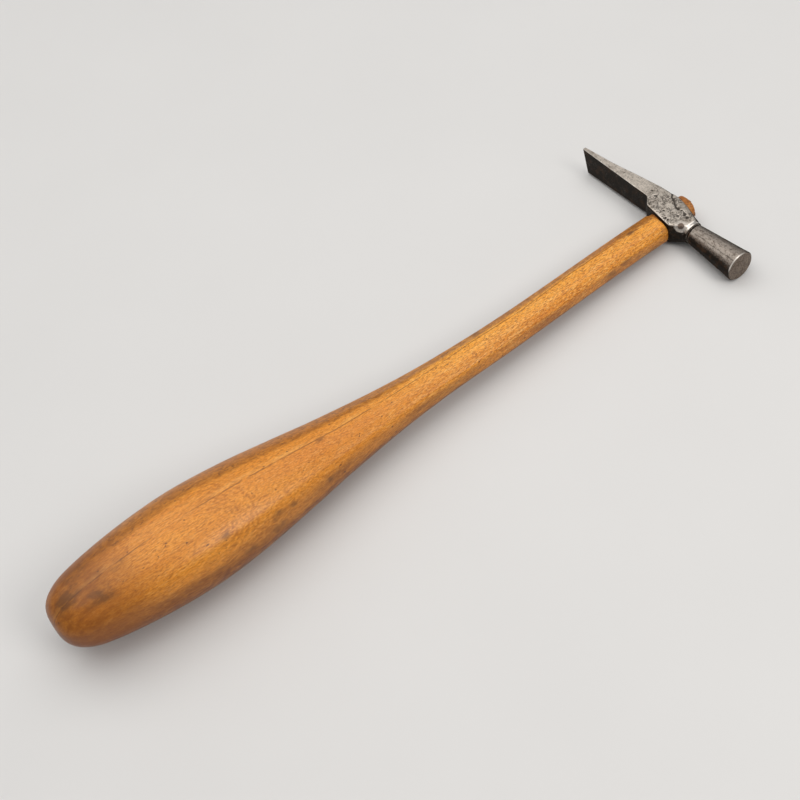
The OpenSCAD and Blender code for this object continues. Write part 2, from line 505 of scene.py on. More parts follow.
def forged(p):
    """Hand-forged unevenness, pits and the punch mark, as an offset along the normal in mm."""
    dents = -DENT_DEPTH * (field(p, 7.0, seed=21) + 1) * smooth(COLLAR_END, COLLAR_END + 2, p[:, 1])
    uneven = dents - TEXTURE_DEPTH * (field(p, 2.2, seed=22) + 1)
    dish, lip = punch(p)
    return uneven - PIT_DEPTH * pits(p) - DISH_DEPTH * dish + LIP_HEIGHT * lip - DRAWN_IN


def eye_cutter():
    """An oval bar through the eye."""
    reach = 12.0
    a = np.arange(EYE_AROUND) / EYE_AROUND * 2 * math.pi
    y = EYE_Y + np.sign(np.cos(a)) * EYE_STRAIGHT + EYE_HALF[1] * np.cos(a)
    z = EYE_HALF[1] * np.sin(a)
    ends = [np.stack([np.full(EYE_AROUND, x), y, z], axis=-1) for x in (-reach, reach)]
    first, last = list(range(EYE_AROUND)), list(range(2 * EYE_AROUND - 1, EYE_AROUND - 1, -1))
    faces = grid_faces(2, EYE_AROUND) + [first, last]
    return object_from("eye_cutter", mesh_from("eye_cutter", np.array(ends).reshape(-1, 3), faces))


def make_head():
    obj = sculpted("head_forging", head_points(HEAD_PER_SIDE), HEAD_END_RINGS, forged)
    cut(obj, [eye_cutter()])
    shade(obj, HEAD_CREASE)
    paint_head(obj)
    obj.data.materials.append(forged_steel())
    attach(obj, "root")
    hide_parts("hammer_head")


# ---- wear and dirt on the head

# How dark the cone is painted round its axis, by degrees from straight up toward the hand side: dirty
# streaks along it, and painted shade toward its underside.
CONE_TONE = ((-180, 0.95), (-110, 0.9), (-64, 0.84), (-50, 0.95), (-34, 0.74), (-20, 0.48),
             (-8, 0.20), (2, 0.06), (28, 0.05), (31, 0.20), (34, 0.60), (37, 0.16),
             (46, 0.16), (56, 0.46), (65, 0.82), (74, 1.0), (110, 1.0), (180, 0.95))
# How strong and wide the worn edges and their painted highlights are.
EDGE_SHINE = 0.8
SHINE_WIDTH, RIM_SHINE_WIDTH = 0.42, 0.26


def cone_streaks_and_shade(p):
    """Streaks along the cone, as CONE_TONE has them, with uneven edges, and painted shade toward its
    underside.
    """
    turn = np.degrees(np.arctan2(-p[:, 0], p[:, 2]))
    unrolled = np.stack([turn * 0.08, p[:, 1] * 0.35, turn * 0], axis=-1)
    wander = 2.5 * field(unrolled, 1.5, seed=33, octaves=2)
    patchy = 0.10 * field(p * np.array([1, 0.3, 1]), 1.6, seed=34, octaves=2)
    return table_at(CONE_TONE, turn + wander) + patchy


def block_side_shade(p, n, patchy):
    """Painted shade: the sides of the block and peen turn patina brown the further they face from up, and
    so do the bevels past the far side of the cheeks.
    """
    x, y = p[:, 0], p[:, 1]
    block = smooth(COLLAR_END - 0.3, COLLAR_END + 0.5, y)
    far = smooth(0.0, 1.5, x) * smooth(9.0, 5.0, y)
    level = smooth(0.0, 1.0, (n[:, 2] - blend(0.35, 0.66, far)) / blend(0.43, 0.22, far))
    sides = block * (1 - level) * clamp01(0.97 + 0.12 * patchy)
    past_cheek = smooth(-0.1, 0.3, x - table_at(FAR_BEVEL, y)) * smooth(6.0, 3.5, y)
    bevels = 0.97 * past_cheek * smooth(GROOVE[1] - 0.1, GROOVE[1] + 0.1, y)
    return np.maximum(sides, bevels)


def collar_shade(p, n):
    """Painted shade in the groove, and on the bead except along its top."""
    y = p[:, 1]
    bead = span(GROOVE[1] - 0.1, GROOVE[1] + 0.1, COLLAR_END, COLLAR_END + 0.3, y)
    groove = span(GROOVE[0] - 0.12, GROOVE[0] + 0.1, GROOVE[1] - 0.1, GROOVE[1] + 0.12, y)
    return np.maximum(bead * (1 - smooth(0.35, 0.75, n[:, 2])), groove)


def edge_wear_and_highlight(p):
    """Where two faces of the block and peen meet, and the rim of the face: rubbed bright, with painted
    highlights along them.
    """
    wear = np.zeros(len(p))
    for i in np.nonzero(p[:, 1] > COLLAR_END)[0]:
        x, y, z = p[i, 0], min(p[i, 1], PEEN_REACH), p[i, 2]
        side = min(abs(x - hand_x(y)), abs(x - along(FAR_SIDE, y)))
        top = abs(abs(z) - cheek_z(y, EDGE_TOP if z > 0 else EDGE_LOW))
        wear[i] = math.exp(-((side + top) / SHINE_WIDTH) ** 2)
    return np.maximum(wear, rim_wear_and_highlight(p))


def rim_wear_and_highlight(p):
    """The rim of the face, worn bright, with a painted highlight on its upper side toward the hand."""
    x, y, z = p.T
    radius = np.hypot(x, z)
    bright = blend(0.35, 1.0, smooth(0.5, 0.9, (0.87 * z - 0.5 * x) / np.maximum(radius, 1.0)))
    near = np.exp(-((y + FACE_REACH - RIM / 2) / RIM_SHINE_WIDTH) ** 2)
    return bright * near * smooth(5.4, 5.8, radius)


def paint_head(obj):
    p, n = vertices(obj), normals(obj)
    x, y, up = p[:, 0], p[:, 1], n[:, 2]
    patchy = field(p, 4.0, seed=31, octaves=3)
    face = smooth(-0.8, -0.95, n[:, 1]) * smooth(-FACE_REACH + 0.4, -FACE_REACH + 0.1, y)
    cone = (1 - smooth(GROOVE[0] - 0.3, GROOVE[0], y)) * (1 - face)
    tip = smooth(PEEN_REACH - 1.6, PEEN_REACH - 0.4, y) * smooth(-0.9, -0.2, x)
    on_face = face * clamp01(0.60 + 0.2 * patchy)
    grime = [block_side_shade(p, n, patchy), collar_shade(p, n), cone * cone_streaks_and_shade(p), on_face, 0.9 * tip]
    collar = span(GROOVE[1] + 0.1, GROOVE[1] + 0.35, COLLAR_END + 0.2, COLLAR_END + 1.2, y)
    # Real dirt on the face and the tip, with painted shade on the block's sides, bevels, collar and the
    # cone's underside.
    paint(obj, "grime", np.maximum.reduce(grime))
    paint(obj, "pits", pits(p))
    # Worn edges with painted highlights, and a painted highlight on the top of the collar bead.
    paint(obj, "shine", np.maximum(EDGE_SHINE * edge_wear_and_highlight(p), collar * smooth(0.62, 0.92, up)))
    paint(obj, "face", face)
    paint(obj, "cone", cone)
    paint(obj, "scarred", span(-9.5, -7.5, 10.0, 17.0, y) * smooth(0.8, 0.95, up))


# ---- the handle's shape

# How square the section is: its power falls from the shank's by GRIP_ROUNDER on the grip.
SHANK_POWER, GRIP_ROUNDER = 2.9, 0.65
# Whittled flats: turn from straight up toward the peen side, how deep, and where they fade out.
FLATS = ((27.0, 0.085, 200.0), (-34.0, 0.035, 150.0), (152.0, 0.06, 170.0), (-150.0, 0.05, 150.0),
         (82.0, 0.02, 150.0), (-86.0, 0.02, 150.0))
FLAT_FADES_FROM = 0.55
HANDLE_LEAN = 0.2
HANDLE_CRISP = 60.0
# The handle's directions lie closer together at its two sides than above and below.
SIDEWARD = 0.86
WHITTLED_DEPTH, SCRAPED_DEPTH = 0.05, 0.012
# The saw cut and the steel wedge's slot, as (x, half the width), and how far each goes either way.
KERF = ((-4, 0.2), (10, 0.9), (11, 0.9))
KERF_HALF = 11
SLOT = ((2, 0.15), (10.2, 0.65))
SLOT_HALF = 2.2


def swell_slopes():
    slopes = [0.0]
    for i in range(1, len(SWELL)):
        j = min(i + 1, len(SWELL) - 1)
        slopes.append((SWELL[j][1] - SWELL[i - 1][1]) / (SWELL[j][0] - SWELL[i - 1][0]))
    return slopes


SLOPES = swell_slopes()


def swell_at(x):
    """The swell at x from the eye, on a smooth curve through SWELL."""
    u = min(max(x / HANDLE_L, 0.0), 1.0)
    i = max(k for k in range(len(SWELL) - 1) if u >= SWELL[k][0])
    (u0, s0), (u1, s1) = SWELL[i], SWELL[i + 1]
    h = u1 - u0
    t = (u - u0) / h
    return (s0 * (1 + 2 * t) * (1 - t) ** 2 + s1 * t * t * (3 - 2 * t)
            + h * t * (1 - t) * (SLOPES[i] * (1 - t) - SLOPES[i + 1] * t))


def butt_share(x):
    t = max(0.0, (x - (HANDLE_L - BUTT_L)) / BUTT_L)
    return max(0.0, 1 - t ** BUTT_POWER) ** (1 / BUTT_POWER)


def rounding(x):
    """How much the shoulder's rounded corner takes off at x."""
    d = max(0.0, min(SHOULDER_R, SHOULDER_X + SHOULDER_R - x))
    return SHOULDER_R - math.sqrt(SHOULDER_R ** 2 - d * d)


def half_sizes(x):
    """Half the size of the shank or grip, along Y and along Z."""
    swell, rounded, share = swell_at(x), rounding(x), butt_share(x)
    return [(blend(shank, grip, swell) - rounded) * share for shank, grip in zip(SHANK_HALF, GRIP_HALF)]


def bow_at(x):
    t = float(clamp01((x - BOW_FROM) / (BOW_TO - BOW_FROM)))
    return -BOW * t * t * (3 - 2 * t)


def shank_section(x, u, v):
    """Distance from the middle to the skin of the shank and grip, in the direction (y, z) = (u, v)."""
    half_y, half_z = half_sizes(x)
    power = SHANK_POWER - GRIP_ROUNDER * min(1.0, 2 * swell_at(x))
    reach = (np.abs(u / half_y) ** power + np.abs(v / half_z) ** power) ** (-1 / power)
    dual = power / (power - 1)
    for turn, depth, fade in FLATS:
        a = math.radians(turn)
        ny, nz = math.sin(a), math.cos(a)
        support = ((half_y * abs(ny)) ** dual + (half_z * abs(nz)) ** dual) ** (1 / dual)
        level = support * (1 - depth * (1 - smooth(fade * FLAT_FADES_FROM, fade, x)))
        lean = ny * u + nz * v
        plane = np.where(lean > HANDLE_LEAN, level / np.maximum(lean, HANDLE_LEAN), BEYOND)
        reach = soft_min(HANDLE_CRISP, reach, plane)
    return reach


def tenon_middle(x):
    """Where a tenon's ring has its middle: on the axis at the shoulder, under the dome's top outside."""
    return DOME_Y * float(1 - clamp01(x / SHOULDER_X))


def oval_reach(a, b, centre):
    """Distance in the direction (a, b) to the eye's oval, whose middle is centre along Y."""
    if abs(b) > 1e-9:
        t = EYE_HALF[1] / abs(b)
        if centre - EYE_STRAIGHT <= a * t <= centre + EYE_STRAIGHT:
            return t
    side = centre + (EYE_STRAIGHT if a > 0 else -EYE_STRAIGHT)
    lead = a * side
    return lead + math.sqrt(max(lead * lead - side * side + EYE_HALF[1] ** 2, 0.0))


def tenon_section(x, u, v):
    """The oval tenon and the dome that trims it, measured from the ring's middle."""
    centre = EYE_Y - tenon_middle(x)
    reach = np.array([oval_reach(a, b, centre) for a, b in zip(u, v)])
    if x >= 0:
        return reach
    dome = math.sqrt(max(DOME_R ** 2 - (DOME_R - PROUD_X - x) ** 2, 0.0))
    return np.minimum(reach, dome)


def handle_section(x, u, v):
    """x is measured from the eye toward the butt, so the tenon's end is at a negative x."""
    if x < SHOULDER_X:
        return tenon_section(x, u, v)
    skin = shank_section(x, u, v)
    if x < SHOULDER_X + SHOULDER_R + 0.6:
        return soft_max(HANDLE_CRISP, skin, tenon_section(x, u, v))
    return skin


def turns(first, last, count):
    return np.radians(np.linspace(first, last, count))


def handle_stations():
    """Where the handle's rings lie, from the tenon's dome to the end of the butt."""
    dome = -DOME_R * np.cos(turns(0.6, 27.5, 22)) + DOME_R - PROUD_X
    tenon = np.linspace(dome[-1] + 0.3, SHOULDER_X - HAIR, 16)
    shoulder = SHOULDER_X + SHOULDER_R * (1 - np.cos(turns(0.5, 90, 14)))
    shaft = np.linspace(SHOULDER_X + SHOULDER_R + 0.5, HANDLE_L - BUTT_L, 360)
    butt = HANDLE_L - BUTT_L + BUTT_L * np.sin(turns(3, 89.4, 34))
    return np.concatenate([dome, tenon, shoulder, shaft, butt])


def handle_points(around):
    a = np.arange(around) / around * 2 * math.pi
    y, z = np.cos(a), np.sin(a) * SIDEWARD
    size = np.hypot(y, z)
    u, v = y / size, z / size
    rings = []
    for x in handle_stations():
        reach = handle_section(x, u, v)
        middle = bow_at(x) + tenon_middle(x)
        rings.append(np.stack([np.full(around, -x), middle + reach * u, reach * v], axis=-1))
    return np.array(rings)[::-1]


def whittled(p):
    """Slight hand-made unevenness, never outward."""
    free = smooth(-SHOULDER_X - 0.5, -SHOULDER_X - 6, p[:, 0])
    shaft = p * np.array([0.22, 1, 1])
    broad = WHITTLED_DEPTH * free * (field(shaft, 4.5, seed=41) + 1)
    return -broad - SCRAPED_DEPTH * free * (field(shaft, 1.1, seed=42) + 1)


def wedge_cutter(name, widths, half, turned):
    """A prism that is widths wide in Z (or in Y when turned), and goes half either way."""
    outline = [(x, -width) for x, width in widths] + [(x, width) for x, width in widths[::-1]]
    count = len(outline)
    points = []
    for s in (-half, half):
        for x, t in outline:
            points.append((x, EYE_Y + t, s) if turned else (x, s + EYE_Y, t))
    faces = [list(range(count)), list(range(2 * count - 1, count - 1, -1))]
    faces += [[k, (k + 1) % count, count + (k + 1) % count, count + k] for k in range(count)]
    return object_from(name, mesh_from(name, np.array(points, float), faces))


def make_handle():
    obj = sculpted("handle_turning", handle_points(HANDLE_AROUND), HANDLE_END_RINGS, whittled)
    kerf = wedge_cutter("kerf_cutter", KERF, KERF_HALF, False)
    cut(obj, [kerf, wedge_cutter("slot_cutter", SLOT, SLOT_HALF, True)])
    shade(obj, HANDLE_CREASE)
    paint_handle(obj)
    obj.data.materials.append(handle_wood())
    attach(obj, "root")
    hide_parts("handle")


# ---- figure and stains on the handle

# The long grain line on the top of the handle, and the near edge of the darker strip beyond it,
# as (x, y). The line's paint runs from 0 to 1 across LINE_SPAN millimetres, and is 0.5 on the line.
GRAIN_LINE = ((-215, -5.0), (-160, -4.3), (-99, -1.2), (-77, -1.2), (-62, 0.0), (-48, 1.1),
              (-21, 1.4), (-8, 1.0))
# The strip is the wood's own mottling, painted darker and wider as shade on the far side.
STRIP = ((-266, 4.0), (-245, 1.0), (-216, 2.5), (-193, 0.8), (-160, -1.5), (-99, -0.6), (-77, -0.6),
         (-62, 0.5), (-48, 1.5), (-8, 1.3))
LINE_SPAN = 12.0
# Dark stains, as (x, y, z, radius, strength). They are longer along the grain.
STAINS = ((-259, -10.8, 11.2, 4.0, 0.8), (-268.5, -4.0, 10.2, 5.0, 0.9), (-262, 3.0, 12.0, 4.5, 0.6),
          (-37.5, -7.1, -0.2, 3.0, 0.7), (-160, -10.5, 5, 2.2, 0.5), (-30, -6.6, 1.5, 2.0, 0.6),
          (-196, -18.4, 5.1, 2.2, 0.9), (-197.4, -19.4, 0, 2.6, 0.9), (-96, 2.6, 4.2, 2.2, 0.9),
          (-250, -6.0, 14.6, 3.0, 0.35), (-20, 1.5, 4.6, 1.6, 0.9), (-14.5, -6.4, -1.5, 2.4, 0.8),
          (-9.2, -5.4, 3.0, 1.8, 0.7), (-216, -17.5, 10.2, 1.8, 0.7), (-173, -15.8, 2.3, 1.4, 0.9),
          (-169, -4.9, 10.2, 1.4, 0.8), (-190, -17.6, 4.7, 1.6, 0.8), (-209, -20.6, 0, 2.0, 0.7))
STAIN_SQUEEZE = 0.55
# The turning marks: the middle of their arcs, how far they reach, and how far apart they are.
ARCS = (-217.0, -13.0)
ARCS_TOP = 13.0
ARCS_REACH = 15.0
ARC_MM = 1.8


def strip_and_shade_share(p, up):
    """The darker mottled strip beyond the grain line, with an uneven edge, laid wide and dark as painted
    shade on the far side.
    """
    x, y = p[:, 0], p[:, 1]
    wander = 0.8 * field(p * np.array([0.1, 1, 1]), 3.0, seed=51)
    return smooth(-0.5, 1.3, y - table_at(STRIP, x) + wander) * smooth(-0.4, 0.1, up)


def stain_share(p):
    x, y, z = p.T
    uneven = 0.35 * field(p, 2.0, seed=53, octaves=3)
    stain = np.zeros(len(p))
    for sx, sy, sz, radius, strength in STAINS:
        gap = np.sqrt(((x - sx) * STAIN_SQUEEZE) ** 2 + (y - sy) ** 2 + (z - sz) ** 2)
        own = 1 - smooth(0.25, 1.0, gap / radius + uneven)
        stain = np.maximum(stain, strength * own)
    return stain


def underside_shade_share(p, up):
    """Painted shade on the side that looks down, from a little higher up on the grip than on the shank.
    """
    grip_tilt = 0.20 * smooth(-100, -150, p[:, 0])
    wander = 0.2 * field(p * np.array([0.2, 1, 1]), 5.0, seed=54, octaves=3)
    return smooth(0.30, -0.45, up - grip_tilt + wander)


def warm_share(p):
    wander = 8 * field(p * np.array([0.3, 1, 1]), 9.0, seed=55, octaves=2)
    return smooth(-95, -165, p[:, 0] + wander)


def arc_share(p, top):
    """Where the turning marks show, on the top of the grip."""
    gap = np.hypot(p[:, 0] - ARCS[0], p[:, 1] - ARCS[1])
    off_middle = smooth(0.0, 5.0, gap)
    in_reach = smooth(ARCS_REACH + 6, ARCS_REACH, gap)
    return top * off_middle * in_reach * smooth(-2.0, 4.0, p[:, 0] - ARCS[0])


def paint_handle(obj):
    p, n = vertices(obj), normals(obj)
    x, y, up = p[:, 0], p[:, 1], n[:, 2]
    top = smooth(0.0, 0.2, up)
    paint(obj, "line", top * clamp01(0.5 + (y - table_at(GRAIN_LINE, x)) / LINE_SPAN))
    paint(obj, "band", strip_and_shade_share(p, up))
    paint(obj, "butt", smooth(-232, -266, x + 4 * field(p, 9.0, seed=52, octaves=3)))
    paint(obj, "stain", stain_share(p))
    # Painted shade: the side that looks down, for its darker brown.
    paint(obj, "low", underside_shade_share(p, up))
    paint(obj, "tenon", smooth(-7.5, -6.5, x))
    paint(obj, "warm", warm_share(p))
    paint(obj, "arcs", arc_share(p, top))


# ---- materials

EVEN = (1, 1, 1)


class Shader:
    """A short way to wire one Principled material."""

    def __init__(self, name):
        self.material = bpy.data.materials.new(name)
        self.material.use_nodes = True
        self.tree = self.material.node_tree
        self.tree.nodes.clear()
        self.skin = self.node("ShaderNodeBsdfPrincipled")
        self.node("ShaderNodeOutputMaterial", {0: self.skin.outputs[0]})

    def node(self, kind, inputs=None, **settings):
        """A node with the given settings, and its inputs fed by number or name."""
        made = self.tree.nodes.new(kind)
        for key, value in settings.items():
            setattr(made, key, value)
        for key, value in (inputs or {}).items():
            self.feed(made.inputs[key], value)
        return made

    def feed(self, socket, value):
        if isinstance(value, (int, float)):
            socket.default_value = value
        elif isinstance(value, tuple):
            socket.default_value = value + (1.0,) if socket.type == "RGBA" and len(value) == 3 else value
        else:
            self.tree.links.new(value, socket)

    def math(self, operation, a, b=0.0, clamp=False):
        return self.node("ShaderNodeMath", {0: a, 1: b}, operation=operation, use_clamp=clamp).outputs[0]

    def plus(self, a, b, clamp=False):
        return self.math("ADD", a, b, clamp)

    def times(self, a, b):
        return self.math("MULTIPLY", a, b)

    def larger(self, a, b):
        return self.math("MAXIMUM", a, b)

    def rest(self, share):
        return self.math("SUBTRACT", 1.0, share)

    def mix(self, share, a, b):
        """The colour a where share is 0 and b where it is 1."""
        return self.node("ShaderNodeMix", {0: share, 6: a, 7: b}, data_type="RGBA").outputs[2]

    def over(self, colour, tint, share, most):
        """The colour with a tint laid over it, no more than most even where share is 1."""
        return self.mix(self.times(share, most), colour, tint)

    def between(self, share, low, high):
        """low where share is 0 and high where it is 1."""
        return self.node("ShaderNodeMapRange", {0: share, 3: low, 4: high}).outputs[0]

    def step(self, value, low, high):
        """0 where value is below low, 1 above high, and eased between."""
        inputs = {0: value, 1: low, 2: high}
        return self.node("ShaderNodeMapRange", inputs, interpolation_type="SMOOTHSTEP").outputs[0]

    def paint(self, name):
        return self.node("ShaderNodeAttribute", attribute_name=name).outputs["Fac"]

    def here(self):
        return self.node("ShaderNodeTexCoord").outputs["Object"]

    def noise(self, stretch, size, detail=2.0, rough=0.5, distortion=0.0):
        """Noise of the given size in millimetres, drawn out where stretch is under 1."""
        inputs = {0: self.here(), 1: tuple(s / MM for s in stretch)}
        place = self.node("ShaderNodeVectorMath", inputs, operation="MULTIPLY").outputs[0]
        inputs = {"Vector": place, "Scale": 1.0 / size, "Detail": detail, "Roughness": rough,
                  "Distortion": distortion}
        return self.node("ShaderNodeTexNoise", inputs).outputs[0]

    def gap_from(self, point):
        """Distance in metres from a point of the hammer's frame."""
        inputs = {0: self.here(), 1: tuple(float(c) for c in to_row([point])[0])}
        return self.node("ShaderNodeVectorMath", inputs, operation="DISTANCE").outputs["Value"]

    def waves(self, distance, wander, length):
        """Waves from 0 to 1 along a distance in metres, each as long as length in millimetres."""
        phase = self.times(self.plus(distance, wander), 2 * math.pi / (length * MM))
        return self.times(self.plus(self.math("SINE", phase), 1.0), 0.5)

    def bump(self, height, strength, distance, under=None):
        inputs = {"Height": height, "Strength": strength, "Distance": distance}
        if under is not None:
            inputs["Normal"] = under
        return self.node("ShaderNodeBump", inputs).outputs[0]

    def set(self, **values):
        for name, value in values.items():
            self.feed(self.skin.inputs[name.replace("_", " ")], value)


CHEEK_STEEL = (0.70, 0.63, 0.55)
BRIGHT_STEEL = (0.78, 0.73, 0.67)
DULL_STEEL = (0.34, 0.29, 0.24)
CONE_STEEL = (0.33, 0.285, 0.245)
CUT_STEEL = (0.20, 0.165, 0.14)
BROWN_PATINA = (0.013, 0.0095, 0.0065)
UMBER_RUST = (0.052, 0.028, 0.015)
PIT_BLACK = (0.016, 0.011, 0.008)
FACE_BROWN = (0.058, 0.036, 0.024)
FACE_STEEL = (0.29, 0.225, 0.175)
PUNCH_BROWN = (0.090, 0.060, 0.044)
# The wandering lines on the cheek: their noise's size, the level they follow, and their width.
SCAR_LINES = ((2.0, 0.5, 0.052), (1.3, 0.45, 0.047))


def scar_marks(m):
    """The pits, and the thin wandering lines and small holes that mark the cheek, 0 to 1."""
    pit, scarred = m.paint("pits"), m.paint("scarred")
    lines = 0.0
    for size, followed, width in SCAR_LINES:
        off = m.math("ABSOLUTE", m.math("SUBTRACT", m.noise(EVEN, size, 1.2, 0.55), followed))
        lines = m.larger(m.rest(m.step(off, width * 0.3, width)), lines)
    broken = m.step(m.noise(EVEN, 2.4, 2, 0.5), 0.43, 0.49)
    lines = m.times(m.times(lines, broken), scarred)
    holes = m.times(m.step(m.noise(EVEN, 0.8, 2, 0.5), 0.68, 0.73), scarred)
    return m.larger(m.larger(m.times(lines, 0.85), holes), m.step(pit, 0.2, 0.6))


def from_punch(m):
    """Distance from the middle of the punch mark, in its own radii, with an uneven edge."""
    gap = m.math("DIVIDE", m.gap_from((*PUNCH, PUNCH_TOP)), PUNCH_R * MM)
    uneven = m.math("SUBTRACT", m.noise(EVEN, 1.1, 2, 0.5), 0.5)
    return m.plus(gap, m.times(uneven, 0.5))


def filed_steel(m, cone, cloud, brushed, specks):
    """The bare metal: bright on the cheeks, duller and blotted on the cone."""
    colour = m.mix(m.step(cloud, 0.42, 0.75), CHEEK_STEEL, DULL_STEEL)
    colour = m.over(colour, DULL_STEEL, m.step(brushed, 0.40, 0.64), 0.45)
    colour = m.over(colour, CONE_STEEL, cone, 0.85)
    colour = m.over(colour, BROWN_PATINA, specks, 0.6)
    blots = m.times(cone, m.step(m.noise((1.0, 0.6, 1.0), 0.9, 4, 0.65), 0.50, 0.62))
    return m.over(colour, UMBER_RUST, blots, 0.55)


def patina_over(m, colour, cone, cloud, dirt_and_shade):
    """Brown patina and rust over the dirt and the painted shade alike, and spots of rust everywhere."""
    rusty = m.times(m.step(cloud, 0.48, 0.66), m.between(cone, 0.6, 0.9))
    patina = m.mix(rusty, BROWN_PATINA, UMBER_RUST)
    colour = m.mix(m.step(dirt_and_shade, 0.05, 0.95), colour, patina)
    return m.over(colour, UMBER_RUST, m.step(m.noise(EVEN, 1.3, 3, 0.55), 0.65, 0.70), 0.75)


def forged_steel():
    m = Shader("forged_steel")
    face, cone, shine = m.paint("face"), m.paint("cone"), m.paint("shine")
    cloud = m.noise(EVEN, 3.2, 4, 0.6)
    fine = m.noise(EVEN, 0.5, 4, 0.65)
    brushed = m.noise((1.0, 0.12, 1.0), 0.35, 3, 0.6)
    specks = m.step(m.noise(EVEN, 0.5, 2, 0.55), 0.58, 0.68)
    punched = from_punch(m)
    dish = m.rest(m.step(punched, 0.80, 1.18))
    worn = m.rest(m.step(punched, 1.55, 2.15))
    scars = m.times(scar_marks(m), m.rest(worn))
    # The grime paint holds real dirt and painted shade, both laid in patina brown.
    grime = m.times(m.paint("grime"), m.rest(worn))
    ragged = m.times(m.math("SUBTRACT", fine, 0.5), 0.9)
    dirt_and_shade = m.times(m.plus(grime, ragged, clamp=True), m.step(grime, 0.0, 0.12))

    colour = filed_steel(m, cone, cloud, brushed, specks)
    colour = patina_over(m, colour, cone, cloud, dirt_and_shade)
    colour = m.over(colour, m.mix(m.step(fine, 0.38, 0.62), FACE_BROWN, FACE_STEEL), face, 0.8)
    # Worn edges and painted highlights in bright steel.
    colour = m.mix(m.step(shine, 0.20, 0.90), colour, BRIGHT_STEEL)
    colour = m.over(colour, BRIGHT_STEEL, worn, 0.35)
    colour = m.over(colour, PUNCH_BROWN, dish, 0.92)
    colour = m.over(colour, PIT_BLACK, scars, 0.9)

    rough = m.between(m.step(dirt_and_shade, 0.1, 0.9), 0.40, 0.58)
    rough = m.plus(rough, m.between(fine, -0.08, 0.10))
    rough = m.plus(rough, m.times(cone, 0.10))
    rough = m.math("SUBTRACT", rough, m.times(shine, 0.10))
    rough = m.plus(rough, m.times(scars, 0.25), clamp=True)
    metal = m.between(m.step(m.larger(dirt_and_shade, scars), 0.2, 1.0), 1.0, 0.2)
    normal = m.bump(m.plus(m.times(fine, 0.6), m.times(brushed, 0.5)), 0.35, 0.05 * MM)
    normal = m.bump(m.rest(m.larger(m.times(specks, 0.5), scars)), 0.5, 0.07 * MM, normal)
    m.set(Base_Color=colour, Roughness=rough, Metallic=metal, Normal=normal, Specular_IOR_Level=0.12)
    return m.material


HONEY = (0.93, 0.405, 0.046)
AMBER = (0.68, 0.230, 0.018)
PALE_HONEY = (0.97, 0.58, 0.17)
FLECK = (0.31, 0.082, 0.006)
STRIP_AND_SHADE_BROWN = (0.30, 0.100, 0.008)
UNDERSIDE_SHADE_BROWN = (0.150, 0.038, 0.002)
UMBER = (0.10, 0.036, 0.010)
BUTT_BROWN = (0.22, 0.060, 0.003)
STAIN_BROWN = (0.15, 0.055, 0.012)
END_GRAIN = (0.33, 0.105, 0.016)
# The pith of the growth rings in metres, its turn in degrees, and the rings' spacing.
PITH = (0.0, 0.0166, -0.050)
PITH_TURN = (0.0, 3.2, 1.5)
RING_MM = 1.15
# The grain line's whole and faded half widths in millimetres.
LINE_HALF = (0.08, 0.30)


def growth_rings(m):
    """Rings round a pith far under the handle, a little out of line with it."""
    moved, turned = tuple(-c for c in PITH), tuple(math.radians(c) for c in PITH_TURN)
    about = m.node("ShaderNodeMapping", {0: m.here(), "Location": moved, "Rotation": turned})
    parts = m.node("ShaderNodeSeparateXYZ", {0: about.outputs[0]})
    squares = [m.math("POWER", parts.outputs[k], 2.0) for k in (1, 2)]
    reach = m.math("SQRT", m.plus(*squares))
    wander = m.times(m.noise((0.12, 1, 1), 6.0, 3, 0.55), 1.5 * MM)
    return m.waves(reach, wander, RING_MM)


def arc_marks(m):
    """Faint curved marks left across the grain by the turning of the grip, 0 to 1."""
    wander = m.times(m.noise(EVEN, 5.0, 2, 0.5), 2.6 * MM)
    waves = m.waves(m.gap_from((*ARCS, ARCS_TOP)), wander, ARC_MM)
    return m.times(waves, m.step(m.noise((0.5, 1, 1), 2.5, 2, 0.5), 0.36, 0.60))


def grain_line(m):
    """The thin dark line along the top of the handle, 0 to 1."""
    off = m.math("ABSOLUTE", m.math("SUBTRACT", m.paint("line"), 0.5))
    broken = m.step(m.noise((0.06, 1, 1), 1.2, 2, 0.5), 0.36, 0.52)
    whole, faded = (half / LINE_SPAN for half in LINE_HALF)
    return m.times(m.rest(m.step(off, whole, faded)), broken)


def plain_wood(m, streaks):
    """Broad changes of tone, pale and dark streaks along the grain, and the growth rings."""
    colour = m.mix(m.step(m.noise((0.05, 0.5, 0.5), 6.0, 3, 0.5), 0.40, 0.72), HONEY, AMBER)
    colour = m.over(colour, PALE_HONEY, m.step(streaks, 0.50, 0.68), 0.55)
    dark_streaks = m.step(m.noise((0.02, 1.2, 1.2), 0.7, 3, 0.6), 0.52, 0.68)
    colour = m.over(colour, AMBER, dark_streaks, 0.45)
    return m.over(colour, AMBER, m.step(growth_rings(m), 0.62, 1.0), 0.22)


def flecked(m, colour, fleck, pores):
    """Dark flecks and pores, pale glints, and the grip's warmer tone with dark dashes."""
    warm = m.paint("warm")
    colour = m.over(colour, FLECK, m.step(fleck, 0.52, 0.66), 0.60)
    colour = m.over(colour, FLECK, m.step(pores, 0.50, 0.62), 0.76)
    glints = m.step(m.noise((0.35, 1.2, 1.2), 0.5, 2, 0.5), 0.54, 0.68)
    colour = m.over(colour, PALE_HONEY, glints, 0.50)
    colour = m.over(colour, AMBER, warm, 0.58)
    dashes = m.step(m.noise((0.22, 1.2, 1.2), 0.55, 3, 0.65), 0.48, 0.62)
    return m.over(colour, FLECK, dashes, m.between(warm, 0.15, 0.50))


